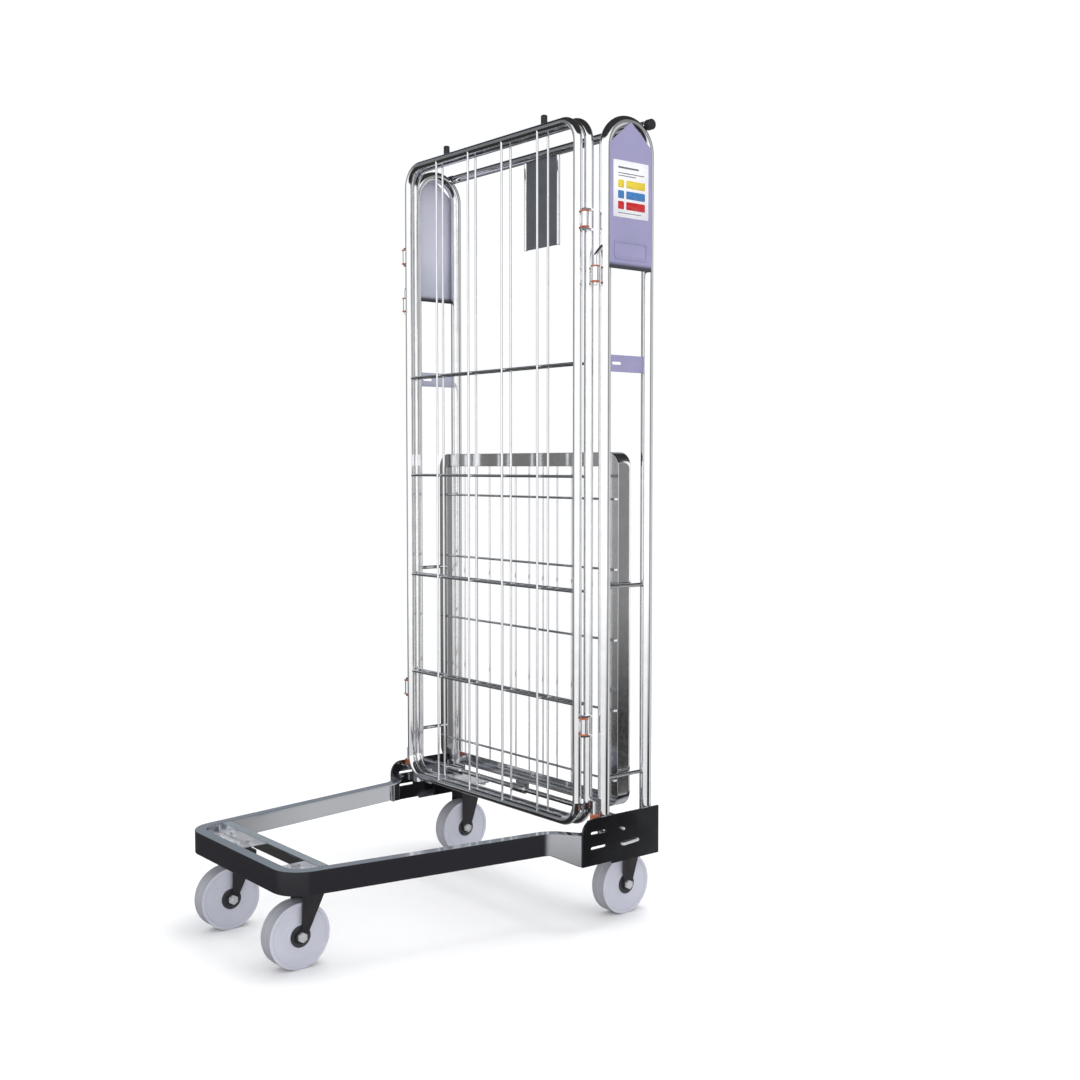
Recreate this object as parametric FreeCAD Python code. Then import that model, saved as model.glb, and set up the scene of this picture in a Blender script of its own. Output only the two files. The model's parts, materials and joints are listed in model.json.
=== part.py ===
import FreeCAD, Part
import math
import os

# Nesting roll cage container, millimetres.
# +X is the hinge side of the gates, -Y the narrow nose that nests into the next
# cage, +Z up.  The origin is at the middle of the footprint, on the floor.

# ---- overall -------------------------------------------------------------
HALF_LENGTH = 419.5
NOSE_Y = -411.0
REAR_Y = 404.5
PLATE_OUTER_X = 362.0
CLEARANCE = 0.4
CUT_OVER = 1.0
TOLERANCE = 0.1

# ---- base frame: an angle section bent into a tapered U --------------------
BASE_BOTTOM_Z = 160.0
BASE_TOP_Z = 206.0
BASE_WALL = 4.0
BASE_FLANGE = 24.0
NOSE_CORNER_X = 216.0
NOSE_RADIUS = 62.0
RAIL_BEND_X = 301.0
RAIL_BEND_Y = 151.0
RAIL_BEND_RADIUS = 45.0
RAIL_END_Y = 193.0
RAIL_LAP = 18.0
RAIL_TIGHT_RADIUS = 6.0
CROSSBAR_Y = -325.0
CROSSBAR_WIDTH = 20.0

# ---- side plates -----------------------------------------------------------
PLATE_THICK = 4.0
PLATE_FRONT_Y = 189.0
PLATE_BOTTOM_Z = 140.5
PLATE_STEP_Y = 271.0
PLATE_STEP = 5.0
PLATE_TOP_Z = 238.0
PLATE_CORNER = 30.0
SLOT_LENGTH = 42.0
SLOT_HEIGHT = 6.0
SLOT_CENTRE_Y = 233.0
SLOT_HEIGHTS_Z = (176.5, 208.0)
TIE_RADIUS = 3.0
TIE_HOLE_FIT = 0.2
TIE_ROD_HOLES = ((299.0, 205.5), (299.0, 172.0), (342.0, 175.0))
TIE_OUT = 6.0
TIE_REACH = 12.0
TIE_BEND = 4.0

# ---- side frames: one tube bent into an inverted U -------------------------
LEG_RADIUS = 12.5
LEG_WALL = 2.0
LEG_X = PLATE_OUTER_X - PLATE_THICK - LEG_RADIUS
FRONT_LEG_Y = 261.0
REAR_LEG_Y = 380.0
ARCH_RADIUS = (REAR_LEG_Y - FRONT_LEG_Y) / 2
ARCH_CENTRE_Y = (REAR_LEG_Y + FRONT_LEG_Y) / 2
ARCH_TOP_Z = 1672.0
ARCH_CENTRE_Z = ARCH_TOP_Z - ARCH_RADIUS
LEG_BOTTOM_Z = 183.5
SIDE_BAR_RADIUS = 4.0
SIDE_BAR_HEIGHTS_Z = (314.0, 714.0)

# ---- sheet pieces on the side frames ----------------------------------------
SHEET = 1.5
LABEL_CENTRE_Y = ARCH_CENTRE_Y
LABEL_HALF_WIDTH = 58.0
LABEL_SINK = 1.0
LABEL_BOTTOM_Z = 1372.0
LABEL_SHOULDER_Z = 1622.0
LABEL_TIP_Z = 1670.0
LIP_DEPTH = 7.0
BEAD_RADIUS = 3.0
EMBOSS_HALF_WIDTH = 46.0
EMBOSS_LOW_Z = 1389.0
EMBOSS_HIGH_Z = 1426.0
EMBOSS_CORNER = 8.0
EMBOSS_LINE = 3.0
EMBOSS_HEIGHT = 1.2
STICKER_THICK = 0.4
STICKER_LOW_Z = 1474.0
STICKER_HIGH_Z = 1589.0
STICKER_HALF_WIDTH = 49.0
LATCH_X = 345.0
LATCH_LOW_Z = 1160.0
LATCH_HIGH_Z = 1194.0
LATCH_SLOT_LENGTH = 26.0
LATCH_SLOT_HEIGHT = 6.0

# ---- top bar ------------------------------------------------------------------
TOP_BAR_RADIUS = 10.0
TOP_BAR_WALL = 2.0
TOP_BAR_Y = 375.3
TOP_BAR_Z = 1673.7
TOP_BAR_HALF = 340.0
STUB_RADIUS = 5.0
STUB_END_X = 360.0
CAP_RADIUS = 11.0
CAP_INNER_X = 350.0
CAP_OUTER_X = 364.0
CAP_ROUNDING = 2.0
PLACARD_HALF_WIDTH = 55.0
PLACARD_BOTTOM_Z = 1464.0
PLACARD_THICK = 2.0
HEM_RADIUS = 4.0

# ---- gates ---------------------------------------------------------------------
GATE_RADIUS = 9.5
GATE_WALL = 1.5
GATE_BOTTOM_Z = 216.5
GATE_TOP_Z = 1672.0
GATE_BEND = 46.0
INNER_GATE_X = 318.0
INNER_GATE_Y = 241.0
OUTER_GATE_X = 310.0
OUTER_GATE_Y = 218.0
WIRE_RADIUS = 2.5
BAR_RADIUS = 3.0
INNER_WIRES_X = (-194.0, -64.5, 64.5, 194.0)
OUTER_WIRES_X = (-186.0, -62.0, 62.0, 186.0)
GATE_BARS_Z = (468.0, 704.0, 943.0, 1176.0)
PEG_X = 179.0
PEG_RADIUS = 4.0
PEG_SETBACK = 5.0
PEG_CAP_RADIUS = 7.0
PEG_TOP_Z = 1706.0
PEG_CAP_HEIGHT = 24.0
WIRE_SETBACK = 6.5
BAR_SETBACK = 1.0

# ---- hinges: gate pair hangs on bent pins, the outer gate on the inner one ------
SLEEVE_RADIUS = 7.5
PIN_RADIUS = 4.0
PIN_FIT = 0.08
WASHER_RADIUS = 9.5
WASHER_THICK = 3.0
FRAME_PIN_X = 347.5
FRAME_PIN_Y = 233.0
LEAF_PIN_X = 329.0
LEAF_PIN_Y = 220.5
FRAME_HINGE_LOW_Z = 1338.0
FRAME_HINGE_HIGH_Z = 1372.0
LEAF_HINGES_Z = ((407.0, 443.0), (1449.0, 1484.0))
PIN_WELD_Z = 1422.0
PIN_BEND_Z = 1393.0
PIN_TIP_Z = 1332.0
CLIP_GAP = 0.6
BUSH_RADIUS = 9.0
BUSH_LOW_Z = 229.0
BUSH_HIGH_Z = 242.0
BUSH_TAB = 4.0
BUSH_TAB_HALF = 11.0
HINGE_STRAP = 4.0
STRAP_INSET = 6.0
ARM_THICK = 4.0
ARM_GAP = 0.5
PIVOT_TOP_Z = 270.0

# ---- deck -------------------------------------------------------------------------
DECK_HALF_WIDTH = 328.0
DECK_FRONT_Y = 316.0
DECK_DEPTH = 36.0
DECK_FACE = 30.0
DECK_SHEET = 3.0
DECK_BOTTOM_Z = 236.0
DECK_TOP_Z = 994.0
DECK_CORNER = 34.0
DECK_WIRE_RADIUS = 2.0
DECK_CROSS_RADIUS = 2.5
DECK_CROSS_Z = (296.0, 446.0, 596.0, 746.0, 895.0)
DECK_WIRE_PITCH = 50.0
DECK_WIRES_EACH_SIDE = 6
DECK_PIVOT_Y = 308.0
DECK_PIVOT_Z = 222.0
DECK_ROD_RADIUS = 6.0
KNUCKLE_RADIUS = 9.5
KNUCKLE_FIT = 0.08
KNUCKLE_LENGTH = 46.0
KNUCKLES_X = (-250.0, 0.0, 250.0)

# ---- castors ------------------------------------------------------------------------
WHEEL_RADIUS = 65.0
WHEEL_WIDTH = 38.0
WHEEL_RIM = 5.0
WHEEL_RECESS = 3.0
HUB_RADIUS = 27.0
BEARING_RADIUS = 12.0
GUARD_RADIUS = 21.5
GUARD_THICK = 1.6
AXLE_RADIUS = 5.0
AXLE_FIT = 0.06
NOSE_SWIVEL_Y = -324.5
REAR_SWIVEL_Y = 370.0
FORK_SHEET = 3.5
FORK_INNER_X = 21.2
CROWN_LOW_Z = 156.0
CROWN_HIGH_Z = 160.0
CROWN_RADIUS = 26.0
LOWER_RACE_RADIUS = 24.0
LOWER_RACE_Z = 165.5
BALL_RING_Z = 165.9
BALL_RING_INNER = 14.0
BALL_RING_OUTER = 20.0
UPPER_RACE_RADIUS = 27.0
UPPER_RACE_Z = 168.5
KINGPIN_RADIUS = 6.0
KINGPIN_HEAD_RADIUS = 9.0
KINGPIN_HEAD_LOW_Z = 152.0
CASTOR_TOP_Z = 179.5
FORK_HALF = 26.0
FORK_LEAN = 3.0
FORK_FOOT_RADIUS = 12.0
NOSE_CASTOR_X = 146.0
NOSE_AXLE_Y = -354.5
REAR_CASTOR_X = 295.0
REAR_AXLE_Y = 354.5
CASTOR_PLATE_HALF_X = 50.0
CASTOR_PLATE_HALF_Y = 34.0
CASTOR_BOLT_X = 38.0
CASTOR_BOLT_Y = 25.0
CASTOR_BOLT_RADIUS = 4.0
CASTOR_BOLT_FIT = 0.5
NOSE_MOUNT_MARGIN_X = 10.0
NOSE_MOUNT_MARGIN_Y = 12.0
REAR_MOUNT_MARGIN = 6.0
WHEEL_EDGE = 1.0
MOUNT_SHEET = 4.0
NUT_FLATS = 13.0
NUT_HEIGHT = 6.5
BOLT_HEAD_HEIGHT = 5.3
AXLE_HEAD_FLATS = 17.0
AXLE_HEAD_HEIGHT = 6.4
AXLE_NUT_HEIGHT = 7.6
AXLE_END = 34.5

CASTORS = {
    "nose_left": (-NOSE_CASTOR_X, NOSE_AXLE_Y, NOSE_SWIVEL_Y),
    "nose_right": (NOSE_CASTOR_X, NOSE_AXLE_Y, NOSE_SWIVEL_Y),
    "rear_left": (-REAR_CASTOR_X, REAR_AXLE_Y, REAR_SWIVEL_Y),
    "rear_right": (REAR_CASTOR_X, REAR_AXLE_Y, REAR_SWIVEL_Y),
}
SIDES = {"left": -1.0, "right": 1.0}

X_AXIS = FreeCAD.Vector(1, 0, 0)
Z_AXIS = FreeCAD.Vector(0, 0, 1)


# ---- shape helpers ---------------------------------------------------------------
def vec(x, y, z):
    return FreeCAD.Vector(x, y, z)


def block(x0, x1, y0, y1, z0, z1):
    corner = vec(min(x0, x1), min(y0, y1), min(z0, z1))
    return Part.makeBox(abs(x1 - x0), abs(y1 - y0), abs(z1 - z0), corner)


def rod(start, end, radius):
    along = end - start
    return Part.makeCylinder(radius, along.Length, start, along)


def ring(start, end, outer, inner):
    return rod(start, end, outer).cut(rod(start, end, inner))


def fuse(shapes):
    joined = shapes[0].multiFuse(shapes[1:]) if len(shapes) > 1 else shapes[0]
    return joined.removeSplitter()


def mirror_x(shape):
    return shape.mirror(vec(0, 0, 0), X_AXIS)


def corner_arc(before, corner, after, radius):
    """Start, arc edge and end of a round corner of the given radius."""
    back = (before - corner).normalize()
    ahead = (after - corner).normalize()
    half = back.getAngle(ahead) / 2
    run = radius / math.tan(half)
    start = corner + back * run
    end = corner + ahead * run
    bisector = (back + ahead).normalize()
    middle = corner + bisector * (radius / math.sin(half) - radius)
    return start, Part.Arc(start, middle, end).toShape(), end


def path(points, radii, closed=False):
    """Wire of straight runs joined by tangent arcs; radii has one entry per corner."""
    count = len(points)
    inner = range(count) if closed else range(1, count - 1)
    arcs = {}
    for index, radius in zip(inner, radii):
        before = points[(index - 1) % count]
        after = points[(index + 1) % count]
        arcs[index] = corner_arc(before, points[index], after, radius)
    edges = []
    for index in range(count if closed else count - 1):
        following = (index + 1) % count
        start = arcs[index][2] if index in arcs else points[index]
        end = arcs[following][0] if following in arcs else points[following]
        edges.append(Part.LineSegment(start, end).toShape())
        if following in arcs:
            edges.append(arcs[following][1])
    return Part.Wire(edges)


def bent_tube(wire, radius, wall=0.0):
    """Round bar or tube swept along a wire that starts with a straight run."""
    first = wire.OrderedEdges[0]
    start = first.valueAt(first.FirstParameter)
    direction = first.tangentAt(first.FirstParameter)
    outer = Part.Wire(Part.makeCircle(radius, start, direction))
    solid = Part.Solid(wire.makePipeShell([outer], True, False))
    if wall:
        inner = Part.Wire(Part.makeCircle(radius - wall, start, direction))
        solid = solid.cut(Part.Solid(wire.makePipeShell([inner], True, False)))
    return solid


def plate_yz(points_yz, x_low, x_high):
    """Flat plate in the YZ plane from a closed outline."""
    outline = [vec(x_low, y, z) for y, z in points_yz]
    face = Part.Face(Part.makePolygon(outline + outline[:1]))
    return face.extrude(vec(x_high - x_low, 0, 0))


def slot_x(y, z, length, height, x_low, x_high):
    """Round-ended cutter along Y that passes through in X."""
    half = (length - height) / 2
    cutter = block(x_low, x_high, y - half, y + half, z - height / 2, z + height / 2)
    for end_y in (y - half, y + half):
        cutter = cutter.fuse(rod(vec(x_low, end_y, z), vec(x_high, end_y, z), height / 2))
    return cutter


# ---- base ----------------------------------------------------------------------------
def base_outline(z):
    """Closed outline of the base at one height, open end carried far to the rear."""
    far_y = REAR_Y + BASE_FLANGE * 4
    right = [
        (NOSE_CORNER_X, NOSE_Y),
        (RAIL_BEND_X, RAIL_BEND_Y),
        (LEG_X + LEG_RADIUS, RAIL_END_Y),
        (LEG_X + LEG_RADIUS, far_y),
    ]
    points = [vec(x, y, z) for x, y in right] + [vec(-x, y, z) for x, y in reversed(right)]
    radii = [NOSE_RADIUS, RAIL_BEND_RADIUS, RAIL_TIGHT_RADIUS, RAIL_TIGHT_RADIUS]
    return path(points, radii + radii[::-1], closed=True)


def base_slab(inset, z_low, z_high):
    wire = base_outline(z_low)
    if inset:
        wire = wire.makeOffset2D(-inset)
    return Part.Face(wire).extrude(vec(0, 0, z_high - z_low))


def behind(y):
    far = 2 * HALF_LENGTH
    return block(-far, far, y, y + far, -far, far)


def make_gussets():
    """The rails' webs drop to the lower edge of the side plates where they meet them."""
    wall = base_slab(0.0, PLATE_BOTTOM_Z, BASE_BOTTOM_Z)
    wall = wall.cut(base_slab(BASE_WALL, PLATE_BOTTOM_Z, BASE_BOTTOM_Z))
    outline = [
        (RAIL_BEND_Y, BASE_BOTTOM_Z),
        (PLATE_FRONT_Y, PLATE_BOTTOM_Z),
        (RAIL_END_Y + RAIL_LAP, PLATE_BOTTOM_Z),
        (RAIL_END_Y + RAIL_LAP, BASE_BOTTOM_Z),
    ]
    return wall.common(plate_yz(outline, -PLATE_OUTER_X, PLATE_OUTER_X))


def make_base_frame():
    web = base_slab(0.0, BASE_BOTTOM_Z, BASE_TOP_Z)
    web = web.cut(base_slab(BASE_WALL, BASE_BOTTOM_Z, BASE_TOP_Z))
    flange = base_slab(0.0, BASE_TOP_Z - BASE_WALL, BASE_TOP_Z)
    flange = flange.cut(base_slab(BASE_FLANGE, BASE_TOP_Z - BASE_WALL, BASE_TOP_Z))
    return fuse([web, flange, make_gussets()]).cut(behind(RAIL_END_Y + RAIL_LAP))


def make_nose_crossbar():
    """Angle bar over the castor mounts, under the flange level at its ends."""
    top_z = BASE_TOP_Z - BASE_WALL
    foot_z = CASTOR_TOP_Z + MOUNT_SHEET
    inside = base_slab(BASE_WALL, foot_z, top_z)
    front = CROSSBAR_Y - CROSSBAR_WIDTH / 2
    back = CROSSBAR_Y + CROSSBAR_WIDTH / 2
    far = PLATE_OUTER_X
    web = block(-far, far, front, front + BASE_WALL, foot_z, top_z)
    top = block(-far, far, front, back, top_z - BASE_WALL, top_z)
    bar = fuse([web, top]).common(inside)
    clear = base_slab(BASE_FLANGE, top_z, BASE_TOP_Z)
    raised = block(-far, far, front, back, top_z, BASE_TOP_Z).common(clear)
    return fuse([bar, raised])


def castor_holes(x, y):
    holes = []
    for side_x in (-1, 1):
        for side_y in (-1, 1):
            at_x = x + side_x * CASTOR_BOLT_X
            at_y = y + side_y * CASTOR_BOLT_Y
            low = vec(at_x, at_y, UPPER_RACE_Z)
            high = vec(at_x, at_y, BASE_TOP_Z)
            holes.append(rod(low, high, CASTOR_BOLT_RADIUS + CASTOR_BOLT_FIT))
    return holes


def make_castor_mounts():
    """Nose mounting plates inside the rails and rear ones inside the side plates."""
    low = CASTOR_TOP_Z
    high = low + MOUNT_SHEET
    nose = base_slab(BASE_WALL, low, high)
    inner_x = NOSE_CASTOR_X - CASTOR_PLATE_HALF_X - NOSE_MOUNT_MARGIN_X
    back_y = NOSE_SWIVEL_Y + CASTOR_PLATE_HALF_Y + NOSE_MOUNT_MARGIN_Y
    nose = nose.common(block(inner_x, PLATE_OUTER_X, NOSE_Y, back_y, low, high))
    rear_inner_x = REAR_CASTOR_X - CASTOR_PLATE_HALF_X - REAR_MOUNT_MARGIN
    rear_front_y = REAR_SWIVEL_Y - 2 * CASTOR_PLATE_HALF_Y
    rear = block(rear_inner_x, LEG_X + LEG_RADIUS, rear_front_y, REAR_Y, low, high)
    pieces = []
    for plate, x, y in ((nose, NOSE_CASTOR_X, NOSE_SWIVEL_Y), (rear, REAR_CASTOR_X, REAR_SWIVEL_Y)):
        for hole in castor_holes(x, y):
            plate = plate.cut(hole)
        pieces += [plate, mirror_x(plate)]
    return Part.makeCompound(pieces)


# ---- side plates and frames -----------------------------------------------------------
def make_side_plate(side):
    x_low = PLATE_OUTER_X - PLATE_THICK
    outline = [
        (PLATE_FRONT_Y, PLATE_BOTTOM_Z),
        (PLATE_STEP_Y, PLATE_BOTTOM_Z),
        (PLATE_STEP_Y, PLATE_BOTTOM_Z - PLATE_STEP),
        (REAR_Y, PLATE_BOTTOM_Z - PLATE_STEP),
        (REAR_Y, PLATE_TOP_Z),
        (PLATE_FRONT_Y, PLATE_TOP_Z),
    ]
    plate = plate_yz(outline, x_low, PLATE_OUTER_X)
    corner = [e for e in plate.Edges if is_front_top_edge(e)]
    plate = plate.makeFillet(PLATE_CORNER, corner)
    from_x = x_low - CUT_OVER
    to_x = PLATE_OUTER_X + CUT_OVER
    for z in SLOT_HEIGHTS_Z:
        plate = plate.cut(slot_x(SLOT_CENTRE_Y, z, SLOT_LENGTH, SLOT_HEIGHT, from_x, to_x))
    for y, z in TIE_ROD_HOLES:
        plate = plate.cut(rod(vec(from_x, y, z), vec(to_x, y, z), TIE_RADIUS + TIE_HOLE_FIT))
    return plate if side > 0 else mirror_x(plate)


def is_front_top_edge(edge):
    middle = edge.CenterOfMass
    return abs(middle.y - PLATE_FRONT_Y) < TOLERANCE and abs(middle.z - PLATE_TOP_Z) < TOLERANCE


def make_tie_rods(side):
    """Stud through the side plate, and a bent rod through the lower two holes."""
    inner_x = PLATE_OUTER_X - PLATE_THICK - TIE_REACH
    stud_x = PLATE_OUTER_X + TIE_OUT
    upper_y, upper_z = TIE_ROD_HOLES[0]
    stud = rod(vec(inner_x, upper_y, upper_z), vec(stud_x, upper_y, upper_z), TIE_RADIUS)
    (front_y, front_z), (back_y, back_z) = TIE_ROD_HOLES[1:]
    staple_x = PLATE_OUTER_X + CUT_OVER + TIE_RADIUS
    points = [
        vec(inner_x, front_y, front_z),
        vec(staple_x, front_y, front_z),
        vec(staple_x, back_y, back_z),
        vec(inner_x, back_y, back_z),
    ]
    staple = bent_tube(path(points, [TIE_BEND, TIE_BEND]), TIE_RADIUS)
    pair = Part.makeCompound([stud, staple])
    return pair if side > 0 else mirror_x(pair)


def side_tube(wall):
    """Right-hand side frame: two legs and the half-round arch between them."""
    front_top = vec(LEG_X, FRONT_LEG_Y, ARCH_CENTRE_Z)
    rear_top = vec(LEG_X, REAR_LEG_Y, ARCH_CENTRE_Z)
    apex = vec(LEG_X, ARCH_CENTRE_Y, ARCH_TOP_Z)
    route = Part.Wire([
        Part.LineSegment(vec(LEG_X, FRONT_LEG_Y, LEG_BOTTOM_Z), front_top).toShape(),
        Part.Arc(front_top, apex, rear_top).toShape(),
        Part.LineSegment(rear_top, vec(LEG_X, REAR_LEG_Y, LEG_BOTTOM_Z)).toShape(),
    ])
    return bent_tube(route, LEG_RADIUS, wall)


def make_side_frame(side):
    tube = side_tube(LEG_WALL)
    return tube if side > 0 else mirror_x(tube)


def make_side_bars():
    """Short rungs between the two legs of each side frame."""
    start_y = FRONT_LEG_Y + LEG_RADIUS
    end_y = REAR_LEG_Y - LEG_RADIUS
    rungs = []
    for z in SIDE_BAR_HEIGHTS_Z:
        rung = rod(vec(LEG_X, start_y, z), vec(LEG_X, end_y, z), SIDE_BAR_RADIUS)
        rungs += [rung, mirror_x(rung)]
    return Part.makeCompound(rungs)


def make_label_plate(side):
    """Gabled sheet on the outside of the legs, with a rolled lower edge and a raised frame."""
    low_x = LEG_X + LEG_RADIUS - LABEL_SINK
    high_x = low_x + SHEET
    left = LABEL_CENTRE_Y - LABEL_HALF_WIDTH
    right = LABEL_CENTRE_Y + LABEL_HALF_WIDTH
    outline = [
        (left, LABEL_BOTTOM_Z),
        (left, LABEL_SHOULDER_Z),
        (LABEL_CENTRE_Y, LABEL_TIP_Z),
        (right, LABEL_SHOULDER_Z),
        (right, LABEL_BOTTOM_Z),
    ]
    sheet = plate_yz(outline, low_x, high_x)
    lip_front = FRONT_LEG_Y + LEG_RADIUS + CLEARANCE
    lip_back = REAR_LEG_Y - LEG_RADIUS - CLEARANCE
    lip = block(low_x - LIP_DEPTH, low_x, lip_front, lip_back, LABEL_BOTTOM_Z, LABEL_BOTTOM_Z + SHEET)
    bead = rod(vec(low_x, left, LABEL_BOTTOM_Z), vec(low_x, right, LABEL_BOTTOM_Z), BEAD_RADIUS)
    plate = fuse([sheet, lip, bead, raised_frame(high_x)]).cut(side_tube(0.0))
    return plate if side > 0 else mirror_x(plate)


def raised_frame(x):
    """Pressed rounded rectangle standing proud of the label plate."""
    def rounded(inset):
        y0 = LABEL_CENTRE_Y - EMBOSS_HALF_WIDTH + inset
        y1 = LABEL_CENTRE_Y + EMBOSS_HALF_WIDTH - inset
        z0 = EMBOSS_LOW_Z + inset
        z1 = EMBOSS_HIGH_Z - inset
        points = [vec(x, y0, z0), vec(x, y1, z0), vec(x, y1, z1), vec(x, y0, z1)]
        wire = path(points, [EMBOSS_CORNER - inset] * 4, closed=True)
        return Part.Face(wire).extrude(vec(EMBOSS_HEIGHT, 0, 0))
    return rounded(0.0).cut(rounded(EMBOSS_LINE))


def make_stickers():
    low_x = LEG_X + LEG_RADIUS - LABEL_SINK + SHEET
    front = LABEL_CENTRE_Y - STICKER_HALF_WIDTH
    back = LABEL_CENTRE_Y + STICKER_HALF_WIDTH
    sticker = block(low_x, low_x + STICKER_THICK, front, back, STICKER_LOW_Z, STICKER_HIGH_Z)
    return Part.makeCompound([sticker, mirror_x(sticker)])


def make_latch_plates():
    """Slotted sheet between the legs, with a short lip along its lower edge."""
    y0 = FRONT_LEG_Y + LEG_RADIUS
    y1 = REAR_LEG_Y - LEG_RADIUS
    sheet = block(LATCH_X, LATCH_X + SHEET, y0, y1, LATCH_LOW_Z, LATCH_HIGH_Z)
    lip = block(LATCH_X - LIP_DEPTH, LATCH_X, y0, y1, LATCH_LOW_Z, LATCH_LOW_Z + SHEET)
    plate = fuse([sheet, lip])
    slot_y = y0 + LATCH_SLOT_LENGTH / 2 + LIP_DEPTH
    middle_z = (LATCH_LOW_Z + LATCH_HIGH_Z) / 2
    low_x = LATCH_X - CUT_OVER
    high_x = LATCH_X + SHEET + CUT_OVER
    cutter = slot_x(slot_y, middle_z, LATCH_SLOT_LENGTH, LATCH_SLOT_HEIGHT, low_x, high_x)
    plate = plate.cut(cutter)
    return Part.makeCompound([plate, mirror_x(plate)])


def leg_solid(y):
    return rod(vec(LEG_X, y, LEG_BOTTOM_Z), vec(LEG_X, y, ARCH_CENTRE_Z), LEG_RADIUS)


# ---- top bar -------------------------------------------------------------------------
def make_top_bar():
    """Tube across the top behind the arches, with a thinner stub at each end."""
    y, z = TOP_BAR_Y, TOP_BAR_Z
    tube = rod(vec(-TOP_BAR_HALF, y, z), vec(TOP_BAR_HALF, y, z), TOP_BAR_RADIUS)
    bore_end = TOP_BAR_HALF - TOP_BAR_WALL
    bore = rod(vec(-bore_end, y, z), vec(bore_end, y, z), TOP_BAR_RADIUS - TOP_BAR_WALL)
    stubs = [rod(vec(s * TOP_BAR_HALF, y, z), vec(s * STUB_END_X, y, z), STUB_RADIUS) for s in (-1, 1)]
    return fuse([tube.cut(bore)] + stubs)


def make_top_bar_caps():
    y, z = TOP_BAR_Y, TOP_BAR_Z
    cap = rod(vec(CAP_INNER_X, y, z), vec(CAP_OUTER_X, y, z), CAP_RADIUS)
    rim = [e for e in cap.Edges if abs(e.CenterOfMass.x - CAP_OUTER_X) < TOLERANCE]
    cap = cap.makeFillet(CAP_ROUNDING, rim)
    cap = cap.cut(rod(vec(CAP_INNER_X, y, z), vec(STUB_END_X, y, z), STUB_RADIUS))
    cap = cap.cut(side_tube(0.0))
    return Part.makeCompound([cap, mirror_x(cap)])


def make_placard():
    """Plain plate hung under the top bar."""
    front = TOP_BAR_Y - PLACARD_THICK / 2
    half = PLACARD_HALF_WIDTH
    top_z = TOP_BAR_Z - TOP_BAR_RADIUS
    return block(-half, half, front, front + PLACARD_THICK, PLACARD_BOTTOM_Z, top_z)


def make_placard_hems():
    """Round upright edges of the placard."""
    top_z = TOP_BAR_Z - TOP_BAR_RADIUS
    x = PLACARD_HALF_WIDTH + HEM_RADIUS
    hem = rod(vec(x, TOP_BAR_Y, PLACARD_BOTTOM_Z), vec(x, TOP_BAR_Y, top_z), HEM_RADIUS)
    return Part.makeCompound([hem, mirror_x(hem)])


# ---- gates ---------------------------------------------------------------------------
def gate_ring(half_x, y, wall):
    points = [
        vec(-half_x, y, GATE_BOTTOM_Z),
        vec(half_x, y, GATE_BOTTOM_Z),
        vec(half_x, y, GATE_TOP_Z),
        vec(-half_x, y, GATE_TOP_Z),
    ]
    return bent_tube(path(points, [GATE_BEND] * 4, closed=True), GATE_RADIUS, wall)


def make_gate_wires(half_x, y, places):
    ring_solid = gate_ring(half_x, y, 0.0)
    at_y = y - WIRE_SETBACK
    wires = [rod(vec(x, at_y, GATE_BOTTOM_Z), vec(x, at_y, GATE_TOP_Z), WIRE_RADIUS) for x in places]
    return Part.makeCompound([wire.cut(ring_solid) for wire in wires])


def make_gate_bars(half_x, y):
    ring_solid = gate_ring(half_x, y, 0.0)
    at_y = y - BAR_SETBACK
    bars = [rod(vec(-half_x, at_y, z), vec(half_x, at_y, z), BAR_RADIUS) for z in GATE_BARS_Z]
    return Part.makeCompound([bar.cut(ring_solid) for bar in bars])


def clip_mouth(x, y, z_low, z_high):
    """Cutter that opens a hinge sleeve to the rear, so that its pin can leave."""
    half = PIN_RADIUS + CLIP_GAP
    low = z_low - CUT_OVER
    high = z_high + CUT_OVER
    mouth = block(x - half, x + half, y, y + 2 * WASHER_RADIUS, low, high)
    return fuse([mouth, rod(vec(x, y, low), vec(x, y, high), half)])


def make_sleeve(x, y, z_low, z_high, tube_x, tube_y, is_open, ring_solid):
    """Hinge sleeve between its washers, with the strap that joins it to the gate tube."""
    low = z_low + WASHER_THICK
    high = z_high - WASHER_THICK
    sleeve = rod(vec(x, y, low), vec(x, y, high), SLEEVE_RADIUS)
    front = (y + tube_y - HINGE_STRAP) / 2
    strap = block(tube_x, x, front, front + HINGE_STRAP, low + STRAP_INSET, high - STRAP_INSET)
    body = fuse([sleeve, strap.cut(ring_solid)])
    bore = rod(vec(x, y, low - CUT_OVER), vec(x, y, high + CUT_OVER), PIN_RADIUS + PIN_FIT)
    body = body.cut(bore)
    return body.cut(clip_mouth(x, y, low, high)) if is_open else body


def make_washers(x, y, z_low, z_high, is_open):
    washers = []
    for low in (z_low, z_high - WASHER_THICK):
        high = low + WASHER_THICK
        washer = ring(vec(x, y, low), vec(x, y, high), WASHER_RADIUS, PIN_RADIUS + PIN_FIT)
        washers.append(washer.cut(clip_mouth(x, y, low, high)) if is_open else washer)
    return washers


def make_inner_gate_hinges():
    """Sleeves on the frame pins; the left one is an open clip."""
    ring_solid = gate_ring(INNER_GATE_X, INNER_GATE_Y, 0.0)
    pieces = []
    for side in (-1, 1):
        pieces.append(make_sleeve(
            side * FRAME_PIN_X, FRAME_PIN_Y, FRAME_HINGE_LOW_Z, FRAME_HINGE_HIGH_Z,
            side * INNER_GATE_X, INNER_GATE_Y, side < 0, ring_solid))
    return Part.makeCompound(pieces)


def make_inner_gate_washers():
    low, high = FRAME_HINGE_LOW_Z, FRAME_HINGE_HIGH_Z
    pieces = []
    for side in (-1, 1):
        pieces += make_washers(side * FRAME_PIN_X, FRAME_PIN_Y, low, high, side < 0)
    return Part.makeCompound(pieces)


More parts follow.
